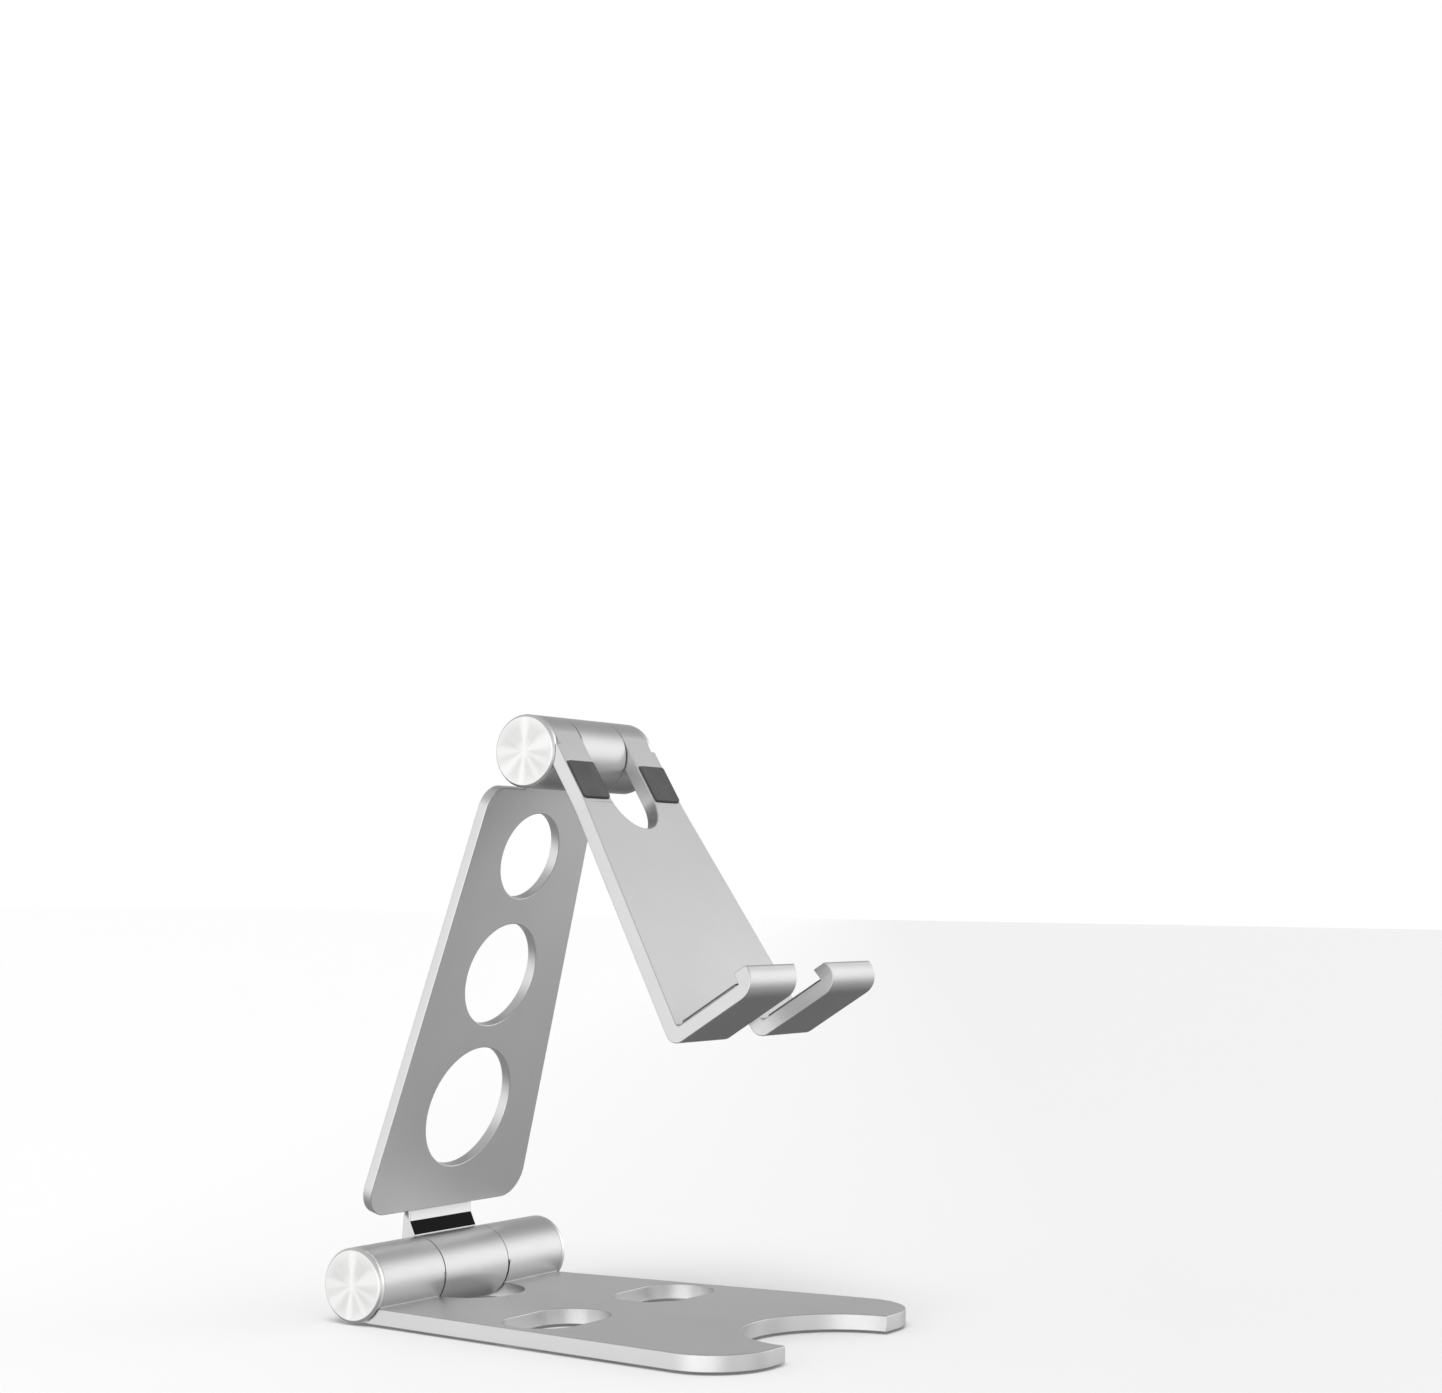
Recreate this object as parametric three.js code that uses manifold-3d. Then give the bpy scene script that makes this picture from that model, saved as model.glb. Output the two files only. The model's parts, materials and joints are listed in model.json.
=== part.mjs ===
// Folding tablet stand: a weighted base plate, a perforated arm and a forked holder plate,
// joined by two friction hinges. Millimetres, +Z up, the front of the stand towards -Y.
// The origin is the middle of the stand's footprint, on the desk.
import * as THREE from 'three';
import { mergeVertices } from 'three/addons/utils/BufferGeometryUtils.js';
import Module from 'manifold-3d';

const wasm = await Module();
wasm.setup();

// ---- Driving dimensions -------------------------------------------------------------

const BARREL_R = 7.6; // radius of both hinge barrels and of their end caps
const HINGE_SPACING = 114; // lower hinge axis to upper hinge axis
const ARM_LEAN = 15.8; // degrees the arm leans forward from upright
const HOLDER_OPEN = 47.7; // degrees from the arm to the holder plate
const PAD_PROUD = 0.5; // how far every silicone pad stands out of its recess
const PAD_RECESS = 0.4; // depth of the recess that holds a pad
const PAD_CLEARANCE = 0.1; // gap round and under a pad

const BASE_REACH = 97; // hinge axis to the front edge of the base
const BASE_THICKNESS = 3.3;
const BASE_REAR_HALF = 29.8; // half width of the base at the hinge axis
const BASE_FLARE = 0.088; // growth of the half width per millimetre forward
const BASE_CORNER_R = 13;
const BASE_NOTCH_R = 19.5; // round bite out of the front edge
const BASE_NOTCH_Y = 97.7;
const BASE_RELIEF_HALF = 11; // round-ended relief under the centre knuckle
const BASE_RELIEF_END = 17.4;
const SLOT_X = 18.9; // middle of each slot that the folded prongs pass through
const SLOT_Y = 42.9;
const SLOT_HALF = 12.4;
const SLOT_HALF_HEIGHT = 8.2;
const SLOT_CORNER_R = 7.6;

const ARM_THICKNESS = 2.3;
const ARM_START = 11.8; // lower edge of the wide part of the arm, from the lower axis
const ARM_END = 104.8;
const ARM_START_HALF = 26;
const ARM_END_HALF = 18.3;
const ARM_START_CORNER_R = 6;
const ARM_END_CORNER_R = 5;
const ARM_HOLES = [{ at: 34.2, r: 13.25 }, { at: 63.8, r: 11.3 }, { at: 90.2, r: 9.4 }];
const NECK_MARGIN = 0.15; // the necks are this much narrower each side than their knuckles
const NECK_OVERLAP = 2; // how far both necks run up into the wide part of the arm
const NECK_STEP = 0.9; // the lower neck's inner face starts this far behind the arm's
// Corners on the inner side of the lower neck, as [distance from the axis plane, up the arm].
const NECK_BEND = [5.5, 9.4];
const NECK_CREST = [3.4, 7.1];
const NECK_FOOT = [2.8, 4];
const NECK_ROOT = [5.7, 1.2]; // where the lower neck's outer side sinks into the knuckle
const NECK_SHOULDER = 10; // up the arm, where that side leaves the arm's outer face
const UPPER_NECK_DEPTH = 2; // the upper neck reaches this near the axis plane
const UPPER_NECK_RISE = 4; // and slopes down to the plate's inner face over this length

const HOLDER_THICKNESS = 3.1;
const LEG_HALF = 17.6; // half width of the holder across its two legs
const LEG_LENGTH = 17; // axis to where the sides start to flare
const LEG_FLARE_R = 30;
const HOLDER_END_HALF = 24.4;
const LEG_GAP_END = 23; // bottom of the round-ended gap between the legs
const LIP_GAP_HALF = 7; // half of the gap between the two prongs
const LIP_GAP_TOP = 63.6; // top of that gap, up the plate
const FLOOR_AT = 69.25; // upper axis to the upper face of the prongs
const FLOOR_THICKNESS = 3;
const BEND_OUTER_R = 2.8;
const BEND_INNER_R = 0.8;
const HOOK_INNER = 24; // upper axis plane to the hook's inner face
const HOOK_OUTER = 27.4;
const HOOK_TOP = 66.85;
const HOOK_OUTER_R = 4.2;
const HOOK_TOP_R = 0.6;

const SEAM_GAP = 0.3; // between two knuckles, holding a friction washer
const FINE_SEAM_GAP = 0.15; // the same at the right of the lower hinge, with a thinner washer
const CAP_FLANGE = 1.5;
const CAP_CHAMFER = 0.5;
const HORN_START = 3; // where a plate begins beside a cap, so that it keeps a blunt end there
const COUNTERBORE_R = 5.9; // hollow inside the outer knuckles
const SHAFT_R = 2.5;
const SHAFT_BORE_R = 2.6;
const RUNNING_GAP = 0.05; // between hinge pieces that turn or bear on each other
const RING_BORE_R = 2.7; // bore of the washers and springs
const WASHER_SINK = 0.3; // how deep a friction washer's rim lies below the barrel
const SPIGOT_CLEARANCE = 0.1;
const SPIGOT_CHAMFER = 0.4;
const SHAFT_HEAD_R = 4.7;
const SHAFT_CHAMFER = 0.5;
const SHAFT_TIP = 0.4; // length of shaft past the nut
const SPRING_T = 0.4;
const SPRING_CONE = 0.35;
const STACK_OUTER_R = 5;

// One entry for each hinge: half length of the centre knuckle, the gap at its right end, outer
// end of the outer knuckles, thickness of the wall that the shaft passes, and the sizes of the
// clamping stack.
const LOWER_HINGE = {
  centreHalf: 10.4, rightGap: FINE_SEAM_GAP, end: 29.8, wall: 3.5,
  head: 3, springs: 4, thrust: 1, nut: 4, spigot: 3,
};
const UPPER_HINGE = {
  centreHalf: 7.5, rightGap: SEAM_GAP, end: 16.45, wall: 2.6,
  head: 2.2, springs: 2, thrust: 0.6, nut: 2, spigot: 1.2,
};

const BARREL_SEGMENTS = 48;
const SMALL_SEGMENTS = 24;
const CURVE_SEGMENTS = 10;
const MERGE_TOLERANCE = 1e-4;
const OVERCUT = 5; // how far a cutting tool runs past the faces that it cuts

// Derived places.
const AXIS_Z = BARREL_R + PAD_PROUD;
const FOOTPRINT_MIDDLE = (BASE_REACH - BARREL_R) / 2;
const ARM_INNER = BARREL_R - ARM_THICKNESS;
const HOLDER_REAR = BARREL_R - HOLDER_THICKNESS;
const BASE_TOP = BASE_THICKNESS - BARREL_R;

// ---- Materials ----------------------------------------------------------------------

const aluminium = (name, roughness) => new THREE.MeshStandardMaterial({
  name, color: 0xc9cbce, roughness, metalness: 1,
});
const steel = (name, color) => new THREE.MeshStandardMaterial({
  name, color, roughness: 0.3, metalness: 1,
});
const silicone = (name) => new THREE.MeshStandardMaterial({
  name, color: 0x3c3d40, roughness: 0.85, metalness: 0,
});
const polymer = (name) => new THREE.MeshStandardMaterial({
  name, color: 0x1c1d1f, roughness: 0.6, metalness: 0,
});

// ---- Shape and solid helpers ----------------------------------------------------------

// A polygon with a tangent arc at each corner that has a radius: points are [x, y, r].
function filleted(points) {
  const shape = new THREE.Shape();
  points.forEach(([x, y, r = 0], i) => {
    const corner = new THREE.Vector2(x, y);
    const before = points[(i + points.length - 1) % points.length];
    const after = points[(i + 1) % points.length];
    const back = new THREE.Vector2(before[0], before[1]).sub(corner).normalize();
    const on = new THREE.Vector2(after[0], after[1]).sub(corner).normalize();
    if (r === 0) {
      if (i === 0) shape.moveTo(x, y);
      else shape.lineTo(x, y);
      return;
    }
    const half = Math.acos(THREE.MathUtils.clamp(back.dot(on), -1, 1)) / 2;
    const centre = back.clone().add(on).normalize().multiplyScalar(r / Math.sin(half)).add(corner);
    const reach = r / Math.tan(half);
    const start = back.clone().multiplyScalar(reach).add(corner).sub(centre);
    const end = on.clone().multiplyScalar(reach).add(corner).sub(centre);
    const clockwise = back.cross(on) > 0;
    if (i === 0) shape.moveTo(centre.x + start.x, centre.y + start.y);
    else shape.lineTo(centre.x + start.x, centre.y + start.y);
    shape.absarc(centre.x, centre.y, r, start.angle(), end.angle(), clockwise);
  });
  return shape;
}

function roundedRectangle(x, y, halfWidth, halfHeight, r) {
  return filleted([
    [x - halfWidth, y - halfHeight, r],
    [x + halfWidth, y - halfHeight, r],
    [x + halfWidth, y + halfHeight, r],
    [x - halfWidth, y + halfHeight, r],
  ]);
}

const FLAT_LEFT = 0.1; // a round end keeps this much of a flat on each side

// A slot along Y about x = 0: square at y = from, nearly a half circle at y = to.
function roundEnded(halfWidth, from, to) {
  const r = halfWidth - FLAT_LEFT;
  return filleted([[-halfWidth, from], [halfWidth, from], [halfWidth, to, r], [-halfWidth, to, r]]);
}

function circle(x, y, r) {
  return new THREE.Shape().absarc(x, y, r, 0, 2 * Math.PI, false);
}

function extruded(shape, depth, curveSegments = CURVE_SEGMENTS) {
  return new THREE.ExtrudeGeometry(shape, { depth, bevelEnabled: false, curveSegments });
}

// A closed geometry as a manifold solid.
function solid(geometry) {
  const bare = geometry.clone();
  bare.deleteAttribute('normal');
  bare.deleteAttribute('uv');
  const merged = mergeVertices(bare, MERGE_TOLERANCE);
  const corners = merged.index.array;
  const triVerts = [];
  for (let i = 0; i < corners.length; i += 3) {
    const [a, b, c] = [corners[i], corners[i + 1], corners[i + 2]];
    if (a !== b && b !== c && c !== a) triVerts.push(a, b, c);
  }
  return new wasm.Manifold(new wasm.Mesh({
    numProp: 3,
    vertProperties: new Float32Array(merged.attributes.position.array),
    triVerts: new Uint32Array(triVerts),
  }));
}

// A manifold solid back as a geometry.
function geometryOf(body) {
  const mesh = body.getMesh();
  const geometry = new THREE.BufferGeometry();
  geometry.setAttribute('position', new THREE.BufferAttribute(new Float32Array(mesh.vertProperties), 3));
  geometry.setIndex(new THREE.BufferAttribute(new Uint32Array(mesh.triVerts), 1));
  geometry.computeVertexNormals();
  return geometry;
}

const joined = (first, ...rest) => rest.reduce((whole, piece) => whole.add(piece), first);
const cut = (first, ...tools) => tools.reduce((whole, tool) => whole.subtract(tool), first);

function piece(name, geometry, material) {
  const mesh = new THREE.Mesh(geometry, material);
  mesh.name = name;
  return mesh;
}

// A side profile, drawn in the Y-Z plane, extruded along X from x0 to x1.
function alongX(shape, x0, x1, curveSegments) {
  const geometry = extruded(shape, x1 - x0, curveSegments);
  const basis = new THREE.Matrix4().makeBasis(
    new THREE.Vector3(0, 1, 0), new THREE.Vector3(0, 0, 1), new THREE.Vector3(1, 0, 0),
  );
  return geometry.applyMatrix4(basis).translate(x0, 0, 0);
}

// A round bar along X from x0 to x1.
function bar(r, x0, x1, segments = BARREL_SEGMENTS) {
  return new THREE.CylinderGeometry(r, r, x1 - x0, segments)
    .rotateZ(Math.PI / 2)
    .translate((x0 + x1) / 2, 0, 0);
}

// A turned piece on the X axis: profile points are [radius, distance along side * X].
function turned(profile, side = 1, segments = SMALL_SEGMENTS) {
  const points = profile.map(([r, along]) => new THREE.Vector2(r, along));
  return new THREE.LatheGeometry(points, segments).rotateZ((-side * Math.PI) / 2);
}

// ---- Plates in their own frames: the hinge axis is the X axis ---------------------------

// Base frame: drawn as (x, forward), forward is -Y, z0 is the lower face.
const onBase = (shape, z0, z1) => extruded(shape, z1 - z0).rotateX(Math.PI).translate(0, 0, z1);
// Arm frame: drawn as (x, up the arm), the arm's outer face looks along +Y.
const onArm = (shape, y0, y1) => extruded(shape, y1 - y0).rotateX(Math.PI / 2).translate(0, y1, 0);
// Holder frame: drawn as (x, down the plate), its front face looks along -Y.
const onHolder = (shape, n0, n1) => extruded(shape, n1 - n0).rotateX(-Math.PI / 2).translate(0, -n1, 0);

const inner = (hinge) => hinge.centreHalf + SEAM_GAP; // inner face of the outer knuckles
const wallEnd = (hinge) => inner(hinge) + hinge.wall; // floor of the counterbore
const centreRight = (hinge) => inner(hinge) - hinge.rightGap; // right end of the centre knuckle

// The two outer knuckles of a hinge, still solid.
function outerKnuckles(hinge) {
  return [
    solid(bar(BARREL_R, -hinge.end, -inner(hinge))),
    solid(bar(BARREL_R, inner(hinge), hinge.end)),
  ];
}

// Shaft bore, counterbores, and the room round the two end caps. The plate leaves the barrel
// towards (awayY, awayZ) and is cut back to a blunt end beside each cap.
function outerBores(hinge, awayY, awayZ) {
  const capRoom = hinge.end + CAP_FLANGE + OVERCUT;
  const reach = 2 * BARREL_R;
  const blunt = (x0, x1) => solid(new THREE.BoxGeometry(
    x1 - x0, awayY === 0 ? 2 * reach : reach, awayZ === 0 ? 2 * reach : reach,
  ).translate(
    (x0 + x1) / 2, awayY * (HORN_START - reach / 2), awayZ * (HORN_START - reach / 2),
  ));
  return [
    blunt(hinge.end, capRoom),
    blunt(-capRoom, -hinge.end),
    solid(bar(SHAFT_BORE_R, -hinge.end, hinge.end, SMALL_SEGMENTS)),
    solid(bar(COUNTERBORE_R, wallEnd(hinge), capRoom, BARREL_SEGMENTS)),
    solid(bar(COUNTERBORE_R, -capRoom, -wallEnd(hinge), BARREL_SEGMENTS)),
    solid(bar(BARREL_R + PAD_CLEARANCE, hinge.end, capRoom, BARREL_SEGMENTS)),
    solid(bar(BARREL_R + PAD_CLEARANCE, -capRoom, -hinge.end, BARREL_SEGMENTS)),
  ];
}

const baseHalf = (forward) => BASE_REAR_HALF + BASE_FLARE * forward;

// The pads under the base: a rear and a front one on each side of the middle.
const REAR_PAD = { x: 21, forward: 21.5, halfWidth: 7.5, halfLength: 8.5 };
const FRONT_PAD = { x: 27.6, forward: 73.5, halfWidth: 4.8, halfLength: 16.5 };
const FOOT_PAD_CORNER_R = 3;
const FOOT_PADS = [[-1, 'left'], [1, 'right']].flatMap(([side, word]) => [
  { ...REAR_PAD, name: `foot_pad_rear_${word}`, x: side * REAR_PAD.x },
  { ...FRONT_PAD, name: `foot_pad_front_${word}`, x: side * FRONT_PAD.x },
]);

function footPadOutline({ x, forward, halfWidth, halfLength }, grow) {
  return roundedRectangle(x, forward, halfWidth + grow, halfLength + grow, FOOT_PAD_CORNER_R);
}

function basePlate() {
  const front = baseHalf(BASE_REACH);
  const outline = filleted([
    [-BASE_REAR_HALF, 0],
    [BASE_REAR_HALF, 0],
    [front, BASE_REACH, BASE_CORNER_R],
    [-front, BASE_REACH, BASE_CORNER_R],
  ]);
  const [low, high] = [-BARREL_R - OVERCUT, BASE_TOP + OVERCUT];
  const relief = roundEnded(BASE_RELIEF_HALF, -OVERCUT, BASE_RELIEF_END);
  const slots = [-1, 1].map((side) => roundedRectangle(
    side * SLOT_X, SLOT_Y, SLOT_HALF, SLOT_HALF_HEIGHT, SLOT_CORNER_R,
  ));
  const recesses = FOOT_PADS.map((pad) => solid(
    onBase(footPadOutline(pad, PAD_CLEARANCE), low, PAD_RECESS - BARREL_R),
  ));
  const plate = cut(
    solid(onBase(outline, -BARREL_R, BASE_TOP)),
    solid(onBase(relief, low, high)),
    solid(extruded(circle(0, 0, BASE_NOTCH_R), high - low, BARREL_SEGMENTS / 2)
      .translate(0, -BASE_NOTCH_Y, low)),
    ...slots.map((slot) => solid(onBase(slot, low, high))),
    ...recesses,
  );
  const knuckles = outerKnuckles(LOWER_HINGE);
  return geometryOf(cut(joined(plate, ...knuckles), ...outerBores(LOWER_HINGE, -1, 0)));
}

function armPlate() {
  const outline = filleted([
    [-ARM_START_HALF, ARM_START, ARM_START_CORNER_R],
    [ARM_START_HALF, ARM_START, ARM_START_CORNER_R],
    [ARM_END_HALF, ARM_END, ARM_END_CORNER_R],
    [-ARM_END_HALF, ARM_END, ARM_END_CORNER_R],
  ]);
  for (const { at, r } of ARM_HOLES) outline.holes.push(circle(0, at, r));
  const plate = solid(onArm(outline, ARM_INNER, BARREL_R));

  // Lower neck: drops from the plate's outer face into the knuckle. Its inner side starts with a
  // step behind the plate's inner face, and comes forward in two facets.
  const neckInner = ARM_INNER + NECK_STEP;
  const lowerHalf = LOWER_HINGE.centreHalf - NECK_MARGIN;
  const neckTop = ARM_START + NECK_OVERLAP;
  const lowerNeck = solid(alongX(filleted([
    [BARREL_R, neckTop], [neckInner, neckTop], [neckInner, ARM_START], NECK_BEND,
    NECK_CREST, NECK_FOOT, NECK_ROOT, [BARREL_R, NECK_SHOULDER],
  ]), -lowerHalf, lowerHalf));
  // Upper neck: the plate simply runs on, tangent to the barrel.
  const upperHalf = UPPER_HINGE.centreHalf - NECK_MARGIN;
  const upperNeck = solid(alongX(filleted([
    [BARREL_R, ARM_END - NECK_OVERLAP], [BARREL_R, HINGE_SPACING], [UPPER_NECK_DEPTH, HINGE_SPACING],
    [ARM_INNER, HINGE_SPACING - UPPER_NECK_RISE], [ARM_INNER, ARM_END - NECK_OVERLAP],
  ]), -upperHalf, upperHalf));

  const knuckle = (hinge, at) => solid(
    bar(BARREL_R, -hinge.centreHalf, centreRight(hinge)).translate(0, 0, at),
  );
  const bore = (hinge, at) => solid(
    bar(SHAFT_BORE_R, -hinge.end, hinge.end, SMALL_SEGMENTS).translate(0, 0, at),
  );
  const whole = joined(
    plate, lowerNeck, upperNeck, knuckle(LOWER_HINGE, 0), knuckle(UPPER_HINGE, HINGE_SPACING),
  );
  return geometryOf(cut(whole, bore(LOWER_HINGE, 0), bore(UPPER_HINGE, HINGE_SPACING)));
}

// Pads on the holder: one on each leg's front, one on each prong's floor.
const REST_PAD = { from: 8.4, to: 17, top: 7.3, bottom: 16, cornerR: 0.6 };
const LIP_PAD = { from: 7.6, to: 23.8, near: 8.8, far: 23.6, cornerR: 0.8 };

const padMiddle = ({ from, to }) => (from + to) / 2;
const padHalf = ({ from, to }) => (to - from) / 2;

function restPadOutline(side, grow) {
  const half = (REST_PAD.bottom - REST_PAD.top) / 2;
  return roundedRectangle(
    side * padMiddle(REST_PAD), REST_PAD.top + half,
    padHalf(REST_PAD) + grow, half + grow, REST_PAD.cornerR,
  );
}

// Drawn as (x, -y) and laid flat, so that it faces up the plate.
function lipPadOutline(side, grow) {
  const half = (LIP_PAD.far - LIP_PAD.near) / 2;
  return roundedRectangle(
    side * padMiddle(LIP_PAD), LIP_PAD.near + half,
    padHalf(LIP_PAD) + grow, half + grow, LIP_PAD.cornerR,
  );
}
const onLip = (shape, below, above) => extruded(shape, above - below)
  .rotateX(Math.PI)
  .translate(0, 0, above - FLOOR_AT);

function holderPlate() {
  const floorEnd = FLOOR_AT + FLOOR_THICKNESS;
  const outline = filleted([
    [-LEG_HALF, 0],
    [LEG_HALF, 0],
    [LEG_HALF, LEG_LENGTH, LEG_FLARE_R],
    [HOLDER_END_HALF, floorEnd + 1],
    [-HOLDER_END_HALF, floorEnd + 1],
    [-LEG_HALF, LEG_LENGTH, LEG_FLARE_R],
  ]);
  // Side profile of plate, bend, floor and hook, drawn as (-forward, -down).
  const profile = filleted([
    [-HOLDER_REAR, 0],
    [-HOLDER_REAR, -floorEnd, BEND_OUTER_R],
    [-HOOK_OUTER, -floorEnd, HOOK_OUTER_R],
    [-HOOK_OUTER, -HOOK_TOP, HOOK_TOP_R],
    [-HOOK_INNER, -HOOK_TOP],
    [-HOOK_INNER, -FLOOR_AT],
    [-BARREL_R, -FLOOR_AT, BEND_INNER_R],
    [-BARREL_R, 0],
  ]);
  const wide = HOLDER_END_HALF + OVERCUT;
  const strip = solid(alongX(profile, -wide, wide)).intersect(
    solid(onHolder(outline, -OVERCUT, HOOK_OUTER + OVERCUT)),
  );

  const legHalf = inner(UPPER_HINGE);
  const legGap = roundEnded(legHalf, -OVERCUT, LEG_GAP_END);
  const lipGap = roundEnded(LIP_GAP_HALF, floorEnd + OVERCUT, LIP_GAP_TOP);
  const [behind, ahead] = [-OVERCUT, HOOK_OUTER + OVERCUT];
  const recesses = [-1, 1].flatMap((side) => [
    solid(onHolder(restPadOutline(side, PAD_CLEARANCE), BARREL_R - PAD_RECESS, ahead)),
    solid(onLip(lipPadOutline(side, PAD_CLEARANCE), -PAD_RECESS, 1)),
  ]);
  const plate = cut(
    strip, solid(onHolder(legGap, behind, ahead)), solid(onHolder(lipGap, behind, ahead)), ...recesses,
  );
  const knuckles = outerKnuckles(UPPER_HINGE);
  return geometryOf(cut(joined(plate, ...knuckles), ...outerBores(UPPER_HINGE, 0, -1)));
}

// ---- Small pieces -----------------------------------------------------------------------

// End cap: a chamfered disc with a spigot that presses into the counterbore.
function endCap(hinge, side) {
  const seat = hinge.end + RUNNING_GAP;
  const face = hinge.end + CAP_FLANGE;
  const spigotR = COUNTERBORE_R - SPIGOT_CLEARANCE;
  return turned([
    [0, seat - hinge.spigot],
    [spigotR - SPIGOT_CHAMFER, seat - hinge.spigot],
    [spigotR, seat - hinge.spigot + SPIGOT_CHAMFER],
    [spigotR, seat],
    [BARREL_R, seat],
    [BARREL_R, face - CAP_CHAMFER],
    [BARREL_R - CAP_CHAMFER, face],
    [0, face],
  ], side, BARREL_SEGMENTS);
}

// Places along +X of the pieces clamped by the nut.
function stackPlaces(hinge) {
  const pitch = SPRING_T + SPRING_CONE + RUNNING_GAP;
  const springs = Array.from({ length: hinge.springs }, (_, i) => wallEnd(hinge) + RUNNING_GAP + i * pitch);
  const thrust = wallEnd(hinge) + RUNNING_GAP + hinge.springs * pitch;
  const nut = thrust + hinge.thrust + RUNNING_GAP;
  return { springs, thrust, nut, shaftEnd: nut + hinge.nut + SHAFT_TIP };
}

// Hinge shaft: a low round head on the left, a plain shank and a chamfered tip on the right.
function shaft(hinge) {
  const under = -wallEnd(hinge) - RUNNING_GAP;
  const tip = stackPlaces(hinge).shaftEnd;
  return turned([
    [0, under - hinge.head],
    [SHAFT_HEAD_R - SHAFT_CHAMFER, under - hinge.head],
    [SHAFT_HEAD_R, under - hinge.head + SHAFT_CHAMFER],
    [SHAFT_HEAD_R, under],
    [SHAFT_R, under],
    [SHAFT_R, tip - SHAFT_CHAMFER],
    [SHAFT_R - SHAFT_CHAMFER, tip],
    [0, tip],
  ]);
}

function ring(innerR, outerR, from, to) {
  return turned([[innerR, from], [outerR, from], [outerR, to], [innerR, to], [innerR, from]]);
}

// Conical disc spring: neighbours in the stack lean opposite ways.
function discSpring(from, outward) {
  const lift = outward ? SPRING_CONE : 0;
  const drop = SPRING_CONE - lift;
  return turned([
    [RING_BORE_R, from + lift],
    [STACK_OUTER_R, from + drop],
    [STACK_OUTER_R, from + drop + SPRING_T],
    [RING_BORE_R, from + lift + SPRING_T],
    [RING_BORE_R, from + lift],
  ]);
}

function hexNut(from, height) {
  const shape = new THREE.Shape();
  const sides = 6;
  for (let i = 0; i < sides; i += 1) {
    const angle = (i * 2 * Math.PI) / sides;
    const corner = [STACK_OUTER_R * Math.cos(angle), STACK_OUTER_R * Math.sin(angle)];
    if (i === 0) shape.moveTo(...corner);
    else shape.lineTo(...corner);
  }
  shape.holes.push(circle(0, 0, SHAFT_BORE_R));
  return alongX(shape, from, from + height, SMALL_SEGMENTS / 2);
}

// Everything inside one hinge, and its two end caps.
function hingeHardware(name, hinge) {
  const places = stackPlaces(hinge);
  const washerBack = inner(hinge) - RUNNING_GAP;
  const washers = {
    left: [-washerBack, -hinge.centreHalf - RUNNING_GAP],
    right: [centreRight(hinge) + RUNNING_GAP, washerBack],
  };
  const pieces = [piece(`${name}_hinge_shaft`, shaft(hinge), steel('shaft_steel', 0x8d9096))];
  for (const [side, word] of [[-1, 'left'], [1, 'right']]) {
    pieces.push(
      piece(`${name}_friction_washer_${word}`,
        ring(RING_BORE_R, BARREL_R - WASHER_SINK, ...washers[word]), polymer('washer_polymer')),
      piece(`${name}_end_cap_${word}`, endCap(hinge, side), aluminium('cap_aluminium', 0.22)),
    );
  }
  places.springs.forEach((from, i) => pieces.push(
    piece(`${name}_disc_spring_${i + 1}`, discSpring(from, i % 2 === 0), steel('spring_steel', 0x6f7278)),
  ));
  pieces.push(
    piece(`${name}_thrust_washer`,
      ring(RING_BORE_R, STACK_OUTER_R, places.thrust, places.thrust + hinge.thrust),
      steel('washer_steel', 0xa4a7ab)),
    piece(`${name}_lock_nut`, hexNut(places.nut, hinge.nut), steel('nut_steel', 0x9a9da2)),
  );
  return pieces;
}

function footPads() {
  const low = -BARREL_R - PAD_PROUD;
  const high = -BARREL_R + PAD_RECESS - PAD_CLEARANCE;
  return FOOT_PADS.map((pad) => piece(
    pad.name, onBase(footPadOutline(pad, 0), low, high), silicone('pad_silicone'),
  ));
}

function holderPads() {
  const floor = -PAD_RECESS + PAD_CLEARANCE;
  return [[-1, 'left'], [1, 'right']].flatMap(([side, word]) => [
    piece(`rest_pad_${word}`,
      onHolder(restPadOutline(side, 0), BARREL_R + floor, BARREL_R + PAD_PROUD), silicone('pad_silicone')),
    piece(`lip_pad_${word}`, onLip(lipPadOutline(side, 0), floor, PAD_PROUD), silicone('pad_silicone')),
  ]);
}

// ---- The stand ----------------------------------------------------------------------------

const holder = new THREE.Group();
holder.position.set(0, 0, HINGE_SPACING);
holder.rotation.x = THREE.MathUtils.degToRad(-HOLDER_OPEN);
holder.add(
  piece('holder_plate', holderPlate(), aluminium('plate_aluminium', 0.4)),
  ...hingeHardware('upper', UPPER_HINGE),
  ...holderPads(),
);

const arm = new THREE.Group();
arm.rotation.x = THREE.MathUtils.degToRad(ARM_LEAN);
arm.add(piece('arm_plate', armPlate(), aluminium('plate_aluminium', 0.4)), holder);

const group = new THREE.Group();
group.position.set(0, FOOTPRINT_MIDDLE, AXIS_Z);
group.add(
  piece('base_plate', basePlate(), aluminium('plate_aluminium', 0.4)),
  ...hingeHardware('lower', LOWER_HINGE),
  ...footPads(),
  arm,
);

export default group;
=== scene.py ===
"""Folding tablet stand: finer meshes, finishes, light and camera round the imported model."""

import json
import math

import bmesh
import bpy
from mathutils import Matrix, Vector
from mathutils.geometry import tessellate_polygon

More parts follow.
